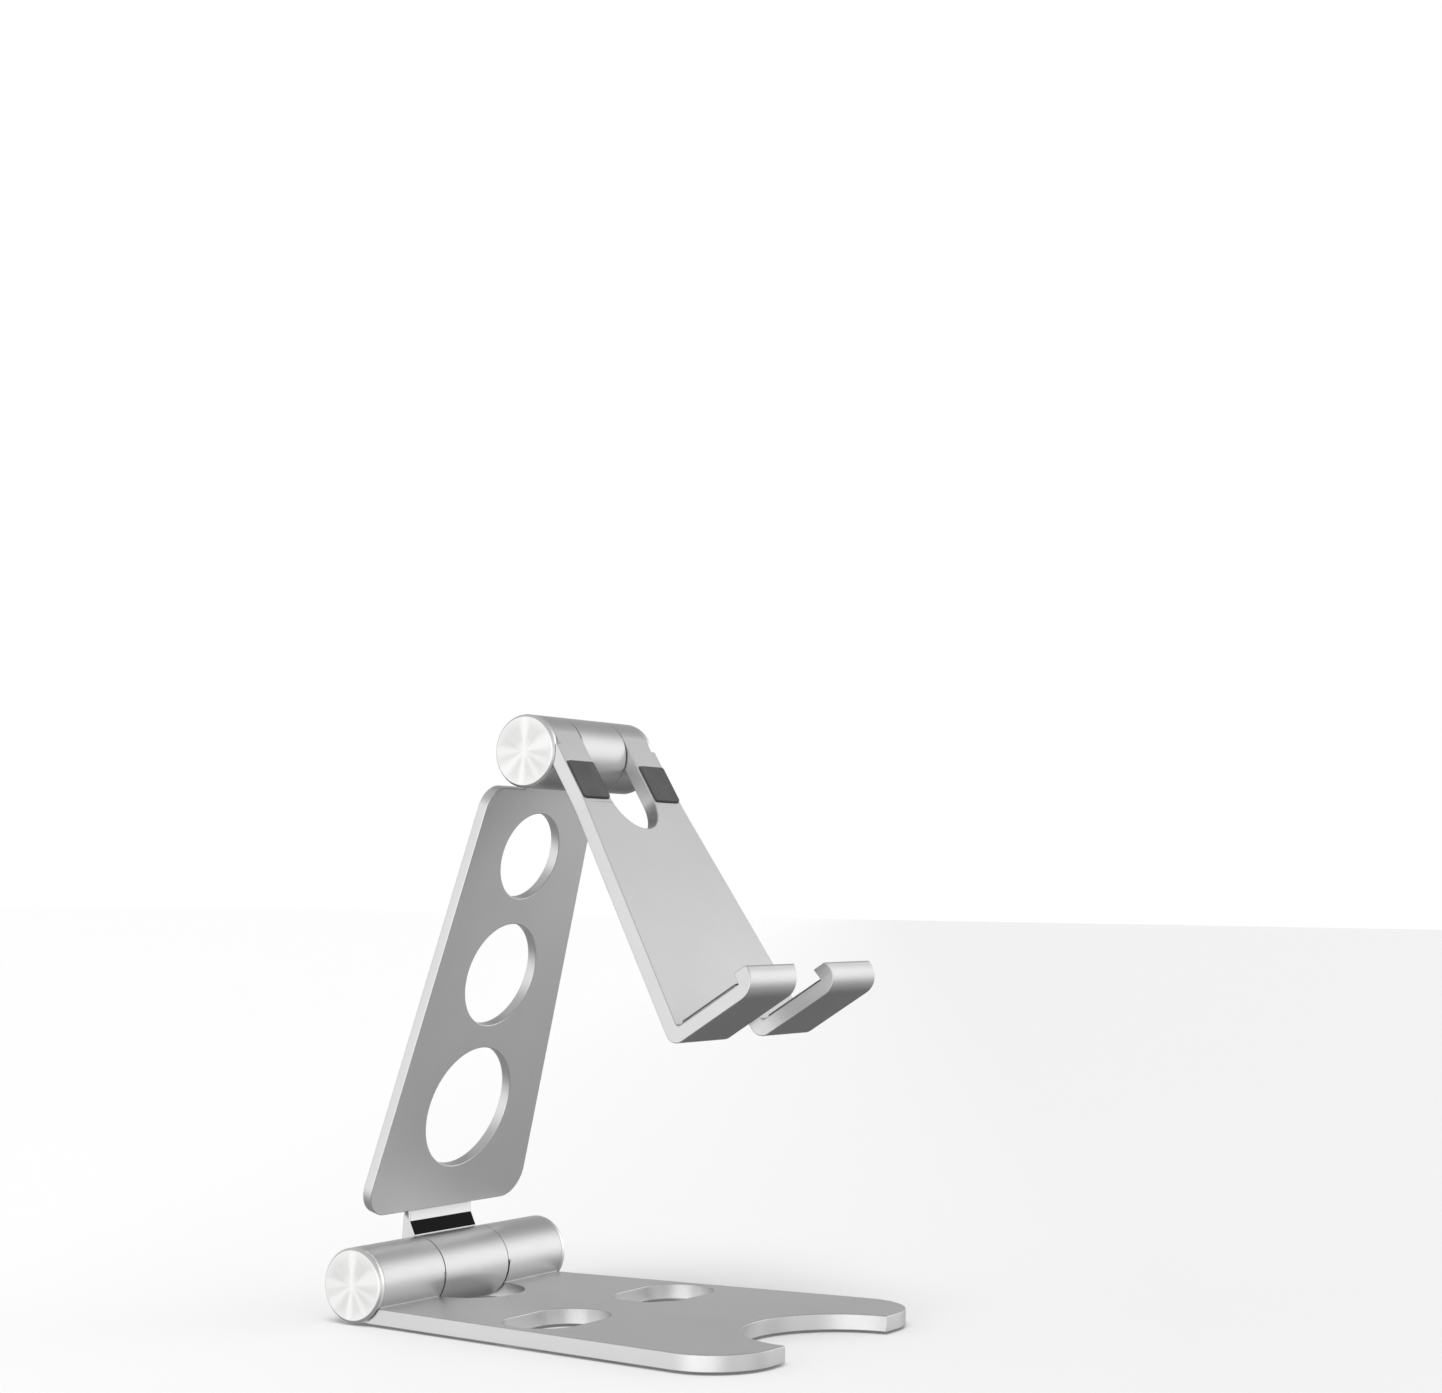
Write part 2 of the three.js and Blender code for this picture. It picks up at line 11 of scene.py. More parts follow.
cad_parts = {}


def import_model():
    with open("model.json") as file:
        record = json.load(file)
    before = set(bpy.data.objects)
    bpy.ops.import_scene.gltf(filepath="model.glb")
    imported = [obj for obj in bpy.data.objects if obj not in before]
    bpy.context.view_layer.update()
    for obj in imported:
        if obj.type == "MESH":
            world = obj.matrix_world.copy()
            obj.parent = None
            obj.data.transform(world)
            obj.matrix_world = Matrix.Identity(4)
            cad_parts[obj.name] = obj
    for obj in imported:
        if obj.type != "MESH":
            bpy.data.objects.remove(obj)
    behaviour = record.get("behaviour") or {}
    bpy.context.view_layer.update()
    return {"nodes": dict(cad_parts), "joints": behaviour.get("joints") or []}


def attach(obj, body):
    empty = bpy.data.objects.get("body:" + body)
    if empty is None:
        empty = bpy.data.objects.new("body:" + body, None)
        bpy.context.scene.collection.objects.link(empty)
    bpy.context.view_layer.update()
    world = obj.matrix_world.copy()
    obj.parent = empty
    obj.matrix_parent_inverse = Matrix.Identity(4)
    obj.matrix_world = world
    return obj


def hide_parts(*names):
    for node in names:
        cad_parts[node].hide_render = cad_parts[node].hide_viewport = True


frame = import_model()

# ---- The stand's sizes in millimetres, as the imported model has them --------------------

MM = 0.001
BARREL_R = 7.6
HINGE_SPACING = 114.0
HOLDER_OPEN = 47.7  # degrees from the arm to the holder plate
PAD_PROUD = 0.5
PAD_RECESS = 0.4
PAD_CLEARANCE = 0.1

PLATE_BEVEL = 0.22
SEAM_BEVEL = 0.07
PAD_BEVEL = 0.18
CAP_BEVEL = 0.08
SHARP_ANGLE = 32.0  # degrees between two faces from which their edge is bevelled

BASE_REACH = 97.0
BASE_THICKNESS = 3.3
BASE_REAR_HALF = 29.8
BASE_FLARE = 0.088
BASE_CORNER_R = 13.0
BASE_NOTCH_R = 19.5
BASE_NOTCH_Y = 97.7
BASE_RELIEF_HALF = 11.0
BASE_RELIEF_END = 17.4
SLOT_X = 18.9
SLOT_Y = 42.9
SLOT_HALF = 12.4
SLOT_HALF_HEIGHT = 8.2
SLOT_CORNER_R = 7.6
FOOT_PADS = {"rear": (21.0, 21.5, 7.5, 8.5), "front": (27.6, 73.5, 4.8, 16.5)}
FOOT_PAD_CORNER_R = 3.0

ARM_THICKNESS = 2.3
ARM_START = 11.8
ARM_END = 104.8
ARM_START_HALF = 26.0
ARM_END_HALF = 18.3
ARM_START_CORNER_R = 6.0
ARM_END_CORNER_R = 5.0
ARM_HOLES = ((34.2, 13.25), (63.8, 11.3), (90.2, 9.4))
NECK_MARGIN = 0.15
NECK_STEP = 0.9
NECK_BEND = (5.5, 9.4)
NECK_CREST = (3.4, 7.1)
NECK_FOOT = (2.8, 4.0)
NECK_ROOT = (5.7, 1.2)
NECK_SHOULDER = (10.0, 3.0)  # height and fillet
NECK_OVERLAP = 2.0
UPPER_NECK_DEPTH = 2.0
UPPER_NECK_DROP = 4.0

HOLDER_THICKNESS = 3.1
LEG_HALF = 17.6
LEG_LENGTH = 17.0
HOLDER_END_HALF = 24.4
FLARE_R = 30.0
LEG_GAP_END = 23.0
LIP_GAP_HALF = 7.0
LIP_GAP_TOP = 63.6
FLOOR_AT = 69.25
FLOOR_THICKNESS = 3.0
BEND_OUTER_R = 2.8
BEND_INNER_R = 0.8
HOOK_INNER = 24.0
HOOK_OUTER = 27.4
HOOK_TOP = 66.85
HOOK_OUTER_R = 4.2
HOOK_TIP_R = 0.6
REST_PAD = {"x": 12.7, "half_x": 4.3, "v": 11.65, "half_v": 4.35, "r": 0.6}
LIP_PAD = {"x": 15.7, "half_x": 8.1, "v": 16.2, "half_v": 7.4, "r": 0.8}

SEAM_GAP = 0.3
FINE_SEAM_GAP = 0.15
CAP_FLANGE = 1.5
CAP_CHAMFER = 0.5
CAP_GAP = 0.05
COUNTERBORE_R = 5.9
SPIGOT_PLAY = 0.1
SPIGOT_CHAMFER = 0.4
SHAFT_BORE_R = 2.6
HORN_START = 3.0
LOWER_HINGE = {"centre_half": 10.4, "end": 29.8, "wall": 3.5, "spigot": 3.0}
UPPER_HINGE = {"centre_half": 7.5, "end": 16.45, "wall": 2.6, "spigot": 1.2}

ARC_STEP = 4.0  # degrees between the points of a fillet
BARREL_STEP = 3.0
CAP_STEP = 2.5
PAST = 5.0  # how far a cutting tool runs past what it cuts
JUST_PAST = 1.0
BARREL_JOIN = 4.0  # how far the base's barrel runs on into its plate
ROUND_END_SLACK = 0.02  # keeps the two fillets of a round end apart
WELD = 1e-4
CLEAN_WELD = 2e-3
FLAT_ANGLE = 0.3  # degrees below which two faces count as one
ON_SURFACE = 0.05
SAME_PLACE = 0.01
ARM_INNER = BARREL_R - ARM_THICKNESS
HOLDER_REAR = BARREL_R - HOLDER_THICKNESS
BASE_TOP = BASE_THICKNESS - BARREL_R

# ---- Where each hinge frame stands in the row frame ------------------------------------

AXES = {joint["name"]: Vector(joint["pos_m"]) for joint in frame["joints"]}
LOWER_AT = AXES["base_hinge"]
UPPER_AT = AXES["holder_hinge"]
ARM_LEAN = math.atan2(LOWER_AT.y - UPPER_AT.y, UPPER_AT.z - LOWER_AT.z)


def hinge_frame(at, turn):
    """Millimetres in a hinge's own frame to metres in the row frame."""
    return Matrix.Translation(at) @ Matrix.Rotation(turn, 4, "X") @ Matrix.Scale(MM, 4)


BASE_FRAME = hinge_frame(LOWER_AT, 0.0)
ARM_FRAME = hinge_frame(LOWER_AT, ARM_LEAN)
HOLDER_FRAME = hinge_frame(UPPER_AT, ARM_LEAN - math.radians(HOLDER_OPEN))

# ---- Outlines ----------------------------------------------------------------------------


def arc(cx, cy, r, start, end, step=ARC_STEP):
    """Points from one angle to another, in degrees, both ends included."""
    count = max(2, math.ceil(abs(end - start) / step))
    turns = [math.radians(start + (end - start) * i / count) for i in range(count + 1)]
    return [(cx + r * math.cos(t), cy + r * math.sin(t)) for t in turns]


def filleted(corners):
    """A polygon of (x, y) or (x, y, r) corners, with a tangent arc where there is an r."""
    points = []
    for i, corner in enumerate(corners):
        here = Vector(corner[:2])
        radius = corner[2] if len(corner) > 2 else 0.0
        if not radius:
            points.append(tuple(here))
            continue
        back = (Vector(corners[i - 1][:2]) - here).normalized()
        on = (Vector(corners[(i + 1) % len(corners)][:2]) - here).normalized()
        half = math.acos(max(-1.0, min(1.0, back.dot(on)))) / 2
        centre = here + (back + on).normalized() * radius / math.sin(half)
        start = here + back * radius / math.tan(half) - centre
        end = here + on * radius / math.tan(half) - centre
        a0 = math.degrees(math.atan2(start.y, start.x))
        sweep = math.degrees(math.atan2(start.x * end.y - start.y * end.x, start.dot(end)))
        points += arc(centre.x, centre.y, radius, a0, a0 + sweep)
    return points


def rectangle(x, y, half_x, half_y, r):
    """A rounded rectangle about (x, y)."""
    return filleted([
        (x - half_x, y - half_y, r), (x + half_x, y - half_y, r),
        (x + half_x, y + half_y, r), (x - half_x, y + half_y, r),
    ])


def round_ended(half, start, end):
    """A slot along y, square at start and round at end."""
    r = half - ROUND_END_SLACK
    return filleted([(-half, start), (half, start), (half, end, r), (-half, end, r)])


def circle(x, y, r):
    """A full circle."""
    return arc(x, y, r, 0.0, 360.0, BARREL_STEP)[:-1]


# ---- Solids: each is a mesh object in a hinge's frame, in millimetres ----------------------


def mesh_object(name, bm):
    """A new object from a bmesh, with its faces turned outwards."""
    bmesh.ops.remove_doubles(bm, verts=bm.verts, dist=WELD)
    bmesh.ops.recalc_face_normals(bm, faces=bm.faces)
    mesh = bpy.data.meshes.new(name)
    bm.to_mesh(mesh)
    bm.free()
    obj = bpy.data.objects.new(name, mesh)
    bpy.context.scene.collection.objects.link(obj)
    return obj


def prism(loops, low, high, place):
    """The first loop, less the others, extruded from low to high; place puts (u, v, w) in 3-D."""
    bm = bmesh.new()
    flat = [[Vector((u, v, 0.0)) for u, v in loop] for loop in loops]
    triangles = tessellate_polygon(flat)
    ends = [[bm.verts.new(place(p.x, p.y, w)) for loop in flat for p in loop] for w in (low, high)]
    for a, b, c in triangles:
        for end in ends:
            bm.faces.new((end[a], end[b], end[c]))
    first = 0
    for loop in flat:
        for i in range(len(loop)):
            a, b = first + i, first + (i + 1) % len(loop)
            bm.faces.new((ends[0][a], ends[0][b], ends[1][b], ends[1][a]))
        first += len(loop)
    return mesh_object("work", bm)


def lathe(profile, step=BARREL_STEP):
    """A closed solid turned about X from (radius, x) points that start and end on the axis."""
    bm = bmesh.new()
    count = round(360 / step)
    rings = []
    for r, x in profile:
        turns = [2 * math.pi * i / count for i in range(count)] if r > 0 else [0.0]
        rings.append([bm.verts.new((x, r * math.cos(t), r * math.sin(t))) for t in turns])
    for one, two in zip(rings, rings[1:]):
        for i in range(count):
            j = (i + 1) % count
            corners = [one[i % len(one)], one[j % len(one)], two[j % len(two)], two[i % len(two)]]
            unique = list(dict.fromkeys(corners))
            if len(unique) > 2:
                bm.faces.new(unique)
    return mesh_object("work", bm)


def bar(r, x0, x1):
    """A round bar along X."""
    return lathe([(0, x0), (r, x0), (r, x1), (0, x1)])


def combined(obj, operation, *others):
    """obj joined with, cut by or limited to each of the others, which are used up."""
    for other in others:
        modifier = obj.modifiers.new("work", "BOOLEAN")
        modifier.operation = operation
        modifier.solver = "EXACT"
        modifier.object = other
        bpy.context.view_layer.update()
        result = bpy.data.meshes.new_from_object(
            obj.evaluated_get(bpy.context.evaluated_depsgraph_get()))
        obj.modifiers.clear()
        used = obj.data
        obj.data = result
        bpy.data.meshes.remove(used)
        bpy.data.objects.remove(other)
    return obj


def on_base(u, v, w):
    """Base plan (x, forward) with w up."""
    return (u, -v, w)


def on_arm(u, v, w):
    """Arm plan (x, up the arm) with w towards the back."""
    return (u, w, v)


def on_holder(u, v, w):
    """Holder plan (x, down the plate) with w towards the front."""
    return (u, -w, -v)


def base_profile(u, v, w):
    """Base side view (forward, up) with w along X."""
    return (w, -u, v)


def arm_profile(u, v, w):
    """Arm side view (towards the back, up the arm) with w along X."""
    return (w, u, v)


def holder_profile(u, v, w):
    """Holder side view (towards the front, down the plate) with w along X."""
    return (w, -u, -v)


def on_lip(u, v, w):
    """Prong floor plan (x, towards the front) with w up from the floor."""
    return (u, -v, w - FLOOR_AT)


# ---- The three plates ------------------------------------------------------------------------


def inner(hinge):
    """The inner face of the outer knuckles."""
    return hinge["centre_half"] + SEAM_GAP


def bores(hinge):
    """Tools for the shaft bore and the two counterbores."""
    wall = inner(hinge) + hinge["wall"]
    reach = hinge["end"] + CAP_FLANGE + PAST
    tools = [bar(SHAFT_BORE_R, -wall - JUST_PAST, wall + JUST_PAST)]
    for side in (-1, 1):
        tools.append(bar(COUNTERBORE_R, *sorted((side * wall, side * reach))))
    return tools


def cap_room(hinge):
    """Tools that clear the space which the two cap flanges take."""
    reach = hinge["end"] + CAP_FLANGE + PAST
    spans = [sorted((side * hinge["end"], side * reach)) for side in (-1, 1)]
    return [bar(BARREL_R + PAD_CLEARANCE, *span) for span in spans]


def base_plate():
    """Base plate with its two outer knuckles."""
    def half(forward):
        return BASE_REAR_HALF + BASE_FLARE * forward

    front = half(BASE_REACH)
    outline = filleted([(-half(HORN_START), HORN_START), (half(HORN_START), HORN_START),
                        (front, BASE_REACH, BASE_CORNER_R), (-front, BASE_REACH, BASE_CORNER_R)])
    low, high = -BARREL_R - PAST, BASE_TOP + PAST
    slots = [rectangle(side * SLOT_X, SLOT_Y, SLOT_HALF, SLOT_HALF_HEIGHT, SLOT_CORNER_R)
             for side in (-1, 1)]
    plate = prism([outline, *slots], -BARREL_R, BASE_TOP, on_base)
    notch = circle(0, BASE_NOTCH_Y, BASE_NOTCH_R)
    combined(plate, "DIFFERENCE", prism([notch], low, high, on_base))
    combined(plate, "DIFFERENCE", *cap_room(LOWER_HINGE))

    # The barrel's section runs tangent into the plate's lower face.
    meet = math.degrees(math.asin(BASE_TOP / BARREL_R))
    section = arc(0, 0, BARREL_R, meet, 270.0, BARREL_STEP)
    joined = HORN_START + BARREL_JOIN
    section += [(joined, -BARREL_R), (joined, BASE_TOP)]
    end = LOWER_HINGE["end"]
    combined(plate, "UNION", prism([section], -end, end, base_profile))
    relief = round_ended(BASE_RELIEF_HALF, -PAST, BASE_RELIEF_END)
    combined(plate, "DIFFERENCE", prism([relief], low, high, on_base))
    centre = inner(LOWER_HINGE)
    combined(plate, "DIFFERENCE", bar(BARREL_R + JUST_PAST, -centre, centre), *bores(LOWER_HINGE))
    for x, forward, half_x, half_y in FOOT_PADS.values():
        for side in (-1, 1):
            recess = rectangle(side * x, forward, half_x + PAD_CLEARANCE, half_y + PAD_CLEARANCE,
                               FOOT_PAD_CORNER_R)
            combined(plate, "DIFFERENCE", prism([recess], low, PAD_RECESS - BARREL_R, on_base))
    return plate


def arm_plate():
    """Arm plate with both necks and centre knuckles."""
    outline = filleted([
        (-ARM_START_HALF, ARM_START, ARM_START_CORNER_R),
        (ARM_START_HALF, ARM_START, ARM_START_CORNER_R),
        (ARM_END_HALF, ARM_END, ARM_END_CORNER_R),
        (-ARM_END_HALF, ARM_END, ARM_END_CORNER_R),
    ])
    holes = [circle(0, at, r) for at, r in ARM_HOLES]
    plate = prism([outline, *holes], ARM_INNER, BARREL_R, on_arm)

    low_half = LOWER_HINGE["centre_half"]
    neck_top = ARM_START + NECK_OVERLAP
    neck_inner = ARM_INNER + NECK_STEP
    lower = filleted([
        (BARREL_R, neck_top), (neck_inner, neck_top), (neck_inner, ARM_START), NECK_BEND,
        NECK_CREST, NECK_FOOT, NECK_ROOT, (BARREL_R, *NECK_SHOULDER),
    ])
    neck = prism([lower], -low_half + NECK_MARGIN, low_half - NECK_MARGIN, arm_profile)
    combined(neck, "UNION", bar(BARREL_R, -low_half, inner(LOWER_HINGE) - FINE_SEAM_GAP))
    combined(plate, "UNION", neck)

    high_half = UPPER_HINGE["centre_half"]
    neck_foot = ARM_END - NECK_OVERLAP
    upper = [
        (BARREL_R, neck_foot), (BARREL_R, HINGE_SPACING), (UPPER_NECK_DEPTH, HINGE_SPACING),
        (ARM_INNER, HINGE_SPACING - UPPER_NECK_DROP), (ARM_INNER, neck_foot),
    ]
    neck = prism([upper], -high_half + NECK_MARGIN, high_half - NECK_MARGIN, arm_profile)
    knuckle = bar(BARREL_R, -high_half, high_half)
    knuckle.data.transform(Matrix.Translation((0, 0, HINGE_SPACING)))
    combined(neck, "UNION", knuckle)
    combined(plate, "UNION", neck)
    low_bore = bar(SHAFT_BORE_R, -low_half - JUST_PAST, low_half + JUST_PAST)
    high_bore = bar(SHAFT_BORE_R, -high_half - JUST_PAST, high_half + JUST_PAST)
    high_bore.data.transform(Matrix.Translation((0, 0, HINGE_SPACING)))
    return combined(plate, "DIFFERENCE", low_bore, high_bore)


def holder_plate():
    """Holder plate with its two outer knuckles, the prongs and the hooks."""
    floor_end = FLOOR_AT + FLOOR_THICKNESS
    below = floor_end + JUST_PAST
    outline = filleted([
        (-LEG_HALF, 0), (LEG_HALF, 0), (LEG_HALF, LEG_LENGTH, FLARE_R), (HOLDER_END_HALF, below),
        (-HOLDER_END_HALF, below), (-LEG_HALF, LEG_LENGTH, FLARE_R),
    ])
    section = filleted([
        (HOLDER_REAR, 0), (HOLDER_REAR, floor_end, BEND_OUTER_R),
        (HOOK_OUTER, floor_end, HOOK_OUTER_R), (HOOK_OUTER, HOOK_TOP, HOOK_TIP_R),
        (HOOK_INNER, HOOK_TOP), (HOOK_INNER, FLOOR_AT),
        (BARREL_R, FLOOR_AT, BEND_INNER_R), (BARREL_R, 0),
    ])
    wide = HOLDER_END_HALF + PAST
    near, far = -PAST, HOOK_OUTER + PAST
    plate = prism([section], -wide, wide, holder_profile)
    combined(plate, "INTERSECT", prism([outline], near, far, on_holder))
    combined(plate, "DIFFERENCE", *cap_room(UPPER_HINGE))
    for side in (-1, 1):
        horn = rectangle(side * (UPPER_HINGE["end"] + PAST), 0, PAST, HORN_START, 0)
        combined(plate, "DIFFERENCE", prism([horn], near, far, on_holder))
    leg_half = inner(UPPER_HINGE)
    leg_gap = round_ended(leg_half, -PAST, LEG_GAP_END)
    lip_gap = round_ended(LIP_GAP_HALF, below + PAST, LIP_GAP_TOP)
    for gap in (leg_gap, lip_gap):
        combined(plate, "DIFFERENCE", prism([gap], near, far, on_holder))
    for side in (-1, 1):
        span = sorted((side * leg_half, side * UPPER_HINGE["end"]))
        combined(plate, "UNION", bar(BARREL_R, *span))
    combined(plate, "DIFFERENCE", *bores(UPPER_HINGE))
    for side in (-1, 1):
        rest = pad_outline(REST_PAD, side, PAD_CLEARANCE)
        lip = pad_outline(LIP_PAD, side, PAD_CLEARANCE)
        combined(plate, "DIFFERENCE", prism([rest], BARREL_R - PAD_RECESS, far, on_holder),
                 prism([lip], -PAD_RECESS, JUST_PAST, on_lip))
    return plate


def pad_outline(pad, side, grow):
    """The plan of a rest pad or lip pad."""
    halves = pad["half_x"] + grow, pad["half_v"] + grow
    return rectangle(side * pad["x"], pad["v"], *halves, pad["r"])


def end_cap(hinge, side):
    """A chamfered disc with a spigot."""
    seat = hinge["end"] + CAP_GAP
    face = hinge["end"] + CAP_FLANGE
    back = seat - hinge["spigot"]
    spigot_r = COUNTERBORE_R - SPIGOT_PLAY
    profile = [
        (0, back), (spigot_r - SPIGOT_CHAMFER, back), (spigot_r, back + SPIGOT_CHAMFER),
        (spigot_r, seat), (BARREL_R, seat), (BARREL_R, face - CAP_CHAMFER),
        (BARREL_R - CAP_CHAMFER, face), (0, face),
    ]
    return lathe([(r, side * x) for r, x in profile], CAP_STEP)


# ---- Materials ------------------------------------------------------------------------------

# The middle of a noise value's range, which tones and roughness spread over.
NOISE_SPAN = (0.3, 0.7)
CAP_ROUGHNESS = (0.20, 0.28)
CAP_RING_SCALE = 9000.0
CAP_RELIEF = (0.12, 0.00002)
CAP_GRAIN = 0.85  # anisotropy
# Painted highlight on the end caps: the tone between highlights, the highlight's tone, its wedges,
# its middle and its rim.
CAP_BETWEEN_HIGHLIGHTS = (0.645, 0.645, 0.64)
CAP_PAINTED_HIGHLIGHT = (0.80, 0.80, 0.795)
HIGHLIGHT_WEDGE_SCALE = 1.9
HIGHLIGHT_WEDGE_SPAN = (0.34, 0.60)
MIDDLE_HIGHLIGHT_SPAN = (0.0004, 0.0028)  # metres from the axis over which the painted highlight in the middle fades
RIM_HIGHLIGHT_SPAN = (0.0050, 0.0076)
RIM_HIGHLIGHT_LEVEL = 0.75


def grey(level):
    """A neutral colour."""
    return (level, level, level)


def material(name, metallic, roughness, colour):
    """A new material, its nodes, its links and its shader."""
    mat = bpy.data.materials.new(name)
    mat.use_nodes = True
    nodes, links = mat.node_tree.nodes, mat.node_tree.links
    shader = nodes["Principled BSDF"]
    shader.inputs["Metallic"].default_value = metallic
    shader.inputs["Roughness"].default_value = roughness
    shader.inputs["Base Color"].default_value = (*colour, 1)
    return mat, nodes, links, shader


def object_coords(nodes):
    """Object coordinates in metres, which are the row frame's."""
    return nodes.new("ShaderNodeTexCoord").outputs["Object"]


def noise(nodes, links, coords, scale, detail=2.0, stretch=None):
    """A noise value over the surface."""
    if stretch:
        mapping = nodes.new("ShaderNodeMapping")
        mapping.inputs["Scale"].default_value = stretch
        links.new(coords, mapping.inputs["Vector"])
        coords = mapping.outputs["Vector"]
    tex = nodes.new("ShaderNodeTexNoise")
    tex.inputs["Scale"].default_value = scale
    tex.inputs["Detail"].default_value = detail
    links.new(coords, tex.inputs["Vector"])
    return tex.outputs["Fac"]


def set_range(node, start, end, low, high):
    """Sets what a Map Range node maps from and to."""
    ends = {"From Min": start, "From Max": end, "To Min": low, "To Max": high}
    for key, number in ends.items():
        node.inputs[key].default_value = number


def ranged(nodes, links, value, low, high, span=NOISE_SPAN):
    """value mapped from the two ends of span to low and high."""
    node = nodes.new("ShaderNodeMapRange")
    set_range(node, *span, low, high)
    links.new(value, node.inputs["Value"])
    return node.outputs["Result"]


def ramp(nodes, links, value, low, high, span=NOISE_SPAN):
    """A colour that runs from low to high between the two ends of span."""
    node = nodes.new("ShaderNodeValToRGB")
    for element, position, colour in zip(node.color_ramp.elements, span, (low, high)):
        element.position = position
        element.color = (*colour, 1)
    links.new(value, node.inputs["Fac"])
    return node.outputs["Color"]


def bump(nodes, links, shader, height, strength, distance):
    """Adds a bump to the shader."""
    node = nodes.new("ShaderNodeBump")
    node.inputs["Strength"].default_value = strength
    node.inputs["Distance"].default_value = distance
    links.new(height, node.inputs["Height"])
    links.new(node.outputs["Normal"], shader.inputs["Normal"])


def vector_math(nodes, links, operation, vector, other=None):
    """A Vector Math node on a linked vector and, if given, a fixed one."""
    node = nodes.new("ShaderNodeVectorMath")
    node.operation = operation
    if other is not None:
        node.inputs[1].default_value = other
    links.new(vector, node.inputs[0])
    return node


def grained(name, metallic, roughness, colour, grain, tones, spread, relief,
            cloud=None, stretch=None, specular=None):
    """A finish with a fine grain in its roughness and relief, and two tones.

    grain and cloud are a noise's scale and detail, spread is the roughness's range, and relief is
    the bump's strength and distance. The tones follow the cloud, or the grain if there's none.
    """
    mat, nodes, links, shader = material(name, metallic, roughness, colour)
    coords = object_coords(nodes)
    fine = noise(nodes, links, coords, *grain, stretch)
    slow = noise(nodes, links, coords, *cloud) if cloud else fine
    links.new(ramp(nodes, links, slow, *tones), shader.inputs["Base Color"])
    links.new(ranged(nodes, links, fine, *spread), shader.inputs["Roughness"])
    bump(nodes, links, shader, fine, *relief)
    if specular is not None:
        shader.inputs["Specular IOR Level"].default_value = specular
    return mat


def blasted_aluminium():
    """Bead-blasted, anodised aluminium: a fine even grain and a very slight cloudiness."""
    return grained(
        "blasted_aluminium", 1.0, 0.38, grey(0.62), grain=(3800.0, 3.0), cloud=(45.0, 3.0),
        tones=((0.617, 0.618, 0.620), grey(0.652)), spread=(0.33, 0.44), relief=(0.25, 0.00004))


def spun_aluminium(axis_at):
    """Face-turned aluminium: the grain runs in circles round the hinge axis. Its base colour
    carries a painted highlight in wedges, in the middle and towards the rim.
    """
    mat, nodes, links, shader = material("spun_aluminium", 1.0, 0.26, (0.74, 0.74, 0.745))
    coords = object_coords(nodes)
    shift = vector_math(nodes, links, "SUBTRACT", coords, axis_at).outputs["Vector"]
    apart = nodes.new("ShaderNodeSeparateXYZ")
    links.new(shift, apart.inputs["Vector"])
    flat = nodes.new("ShaderNodeCombineXYZ")
    links.new(apart.outputs["Y"], flat.inputs["X"])
    links.new(apart.outputs["Z"], flat.inputs["Y"])
    flat = flat.outputs["Vector"]
    radius = vector_math(nodes, links, "LENGTH", flat).outputs["Value"]
    rings = nodes.new("ShaderNodeTexNoise")
    rings.noise_dimensions = "1D"
    rings.inputs["Scale"].default_value = CAP_RING_SCALE
    rings.inputs["Detail"].default_value = 2.0
    links.new(radius, rings.inputs["W"])
    rings = rings.outputs["Fac"]
    links.new(ranged(nodes, links, rings, *CAP_ROUGHNESS), shader.inputs["Roughness"])

    # Painted highlight: the base colour is brighter in wedges that run out from the middle, in the
    # middle itself and towards the rim, where turned grain gathers light.
    spoke = vector_math(nodes, links, "NORMALIZE", flat).outputs["Vector"]
    highlight_wedges = noise(nodes, links, spoke, HIGHLIGHT_WEDGE_SCALE, 0.0)
    strength = ranged(nodes, links, highlight_wedges, 0.0, 1.0, HIGHLIGHT_WEDGE_SPAN)
    middle = ranged(nodes, links, radius, 1.0, 0.0, MIDDLE_HIGHLIGHT_SPAN)
    rim_highlight = ranged(nodes, links, radius, 0.0, RIM_HIGHLIGHT_LEVEL, RIM_HIGHLIGHT_SPAN)
    for fade in (middle, rim_highlight):
        brighter = nodes.new("ShaderNodeMath")
        brighter.operation = "MAXIMUM"
        links.new(strength, brighter.inputs[0])
        links.new(fade, brighter.inputs[1])
        strength = brighter.outputs["Value"]
    # The painted highlight's strength runs the base colour from the tone between highlights to the
    # highlight's tone.
    tone = ramp(nodes, links, strength, CAP_BETWEEN_HIGHLIGHTS, CAP_PAINTED_HIGHLIGHT, (0.0, 1.0))
    links.new(tone, shader.inputs["Base Color"])
    bump(nodes, links, shader, rings, *CAP_RELIEF)

    # The grain's direction: across the radius, in the plane of the face.
    across = vector_math(nodes, links, "CROSS_PRODUCT", shift, (1, 0, 0)).outputs["Vector"]
    unit = vector_math(nodes, links, "NORMALIZE", across).outputs["Vector"]
    links.new(unit, shader.inputs["Tangent"])
    shader.inputs["Anisotropic"].default_value = CAP_GRAIN
    return mat


def silicone():
    """Matte dark grey silicone with a fine moulded texture."""
    return grained(
        "pad_silicone", 0.0, 0.75, (0.085, 0.085, 0.088), grain=(2600.0, 2.0), cloud=(120.0, 2.0),
        tones=((0.075, 0.075, 0.078), (0.098, 0.098, 0.101)), spread=(0.66, 0.84),
        relief=(0.4, 0.00006), specular=0.35)


def neck_black():
    """Near-black colour, roughness about 0.4, on the facet above the centre knuckle."""
    return grained(
        "neck_black", 0.0, 0.4, grey(0.005), grain=(2400.0, 2.0), tones=(grey(0.004), grey(0.007)),
        spread=(0.34, 0.48), relief=(0.15, 0.00003), specular=0.04)


